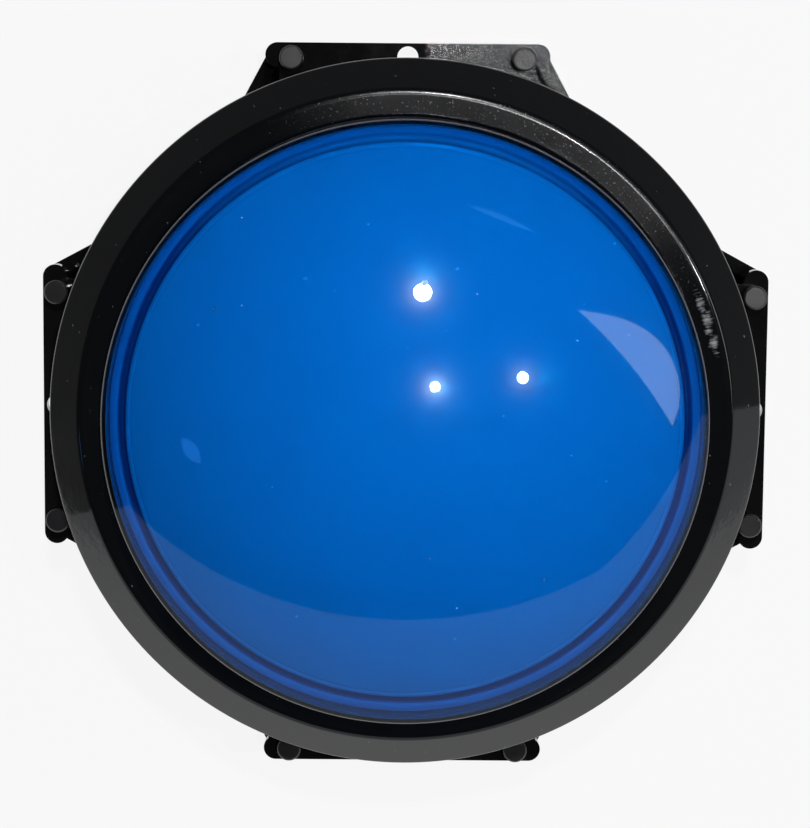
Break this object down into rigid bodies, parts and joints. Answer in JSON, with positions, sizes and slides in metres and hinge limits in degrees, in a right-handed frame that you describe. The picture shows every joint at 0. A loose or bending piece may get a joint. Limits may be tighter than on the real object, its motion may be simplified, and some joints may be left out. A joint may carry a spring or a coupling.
{
  "type": "arcade push button",
  "caption": "Giant illuminated dome push button: blue lens, glossy black bezel, flange with pegs and holes behind the panel, sprung press with a lever switch.",
  "frame": {"origin": "centre of the flange's front face, where the panel's back lies", "axes": "+Z out of the dome towards the player; +X and +Y across the flange's flat sides; the switch is on the -Y side"},
  "size_m": [0.2088, 0.2088, 0.0947],
  "materials": {
    "bezel_black": "polished black moulding",
    "housing_black": "black moulding, fine texture",
    "lens_blue": "clear blue, polished",
    "diffuser_white": "milky white, matt",
    "frame_white": "natural nylon",
    "stop_rubber": "matt",
    "steel": "zinc plated",
    "spring_steel": "drawn wire",
    "bush_bronze": "sintered",
    "board_white": "white solder mask",
    "lamp_white": "moulded lamp package",
    "chip_black": "matt",
    "connector_white": "natural",
    "switch_black": "matt",
    "terminal_brass": "plain",
    "button_red": "matt"
  },
  "bodies": {
    "housing": {"bezel_ring": "bezel_black", "flange_housing": "housing_black", "rear_cover": "housing_black", "cover_frame": "housing_black", "cover_mounts": "housing_black", "bump_stops": "stop_rubber", "cover_screws": "steel", "bezel_screws": "steel", "guide_bushes": "bush_bronze", "led_board": "board_white", "board_screws": "steel", "leds": "lamp_white", "led_resistors": "chip_black", "led_connector": "connector_white", "switch_case": "switch_black", "switch_screws": "steel", "lever_pin": "steel", "switch_terminals": "terminal_brass", "return_spring_1": "spring_steel", "return_spring_2": "spring_steel", "return_spring_3": "spring_steel", "return_spring_4": "spring_steel"},
    "button": {"dome_lens": "lens_blue", "seal_ring": "stop_rubber", "diffuser": "diffuser_white", "diffuser_screws": "steel", "plunger_frame": "frame_white", "guide_pins": "steel"},
    "switch_lever": {"switch_lever": "steel"},
    "switch_button": {"switch_button": "button_red"}
  },
  "joints": [
    {"name": "press", "type": "slide", "parent": "housing", "child": "button", "axis": [0, 0, -1], "range_m": [0, 0.006], "stiffness_N_per_m": 1000, "springref_m": -0.008, "deforming": ["return_spring_1", "return_spring_2", "return_spring_3", "return_spring_4"]},
    {"name": "lever_swing", "type": "hinge", "parent": "housing", "child": "switch_lever", "pos_m": [-0.011, -0.06, -0.001], "axis": [0, 1, 0], "range_deg": [0, 16.7]},
    {"name": "switch_press", "type": "slide", "parent": "housing", "child": "switch_button", "axis": [0, 0, -1], "range_m": [0, 0.0012]}
  ],
  "couplings": [
    {"joint": "lever_swing", "follows": "press", "rad_per_m": 48.375},
    {"joint": "switch_press", "follows": "press", "ratio": 0.199}
  ]
}
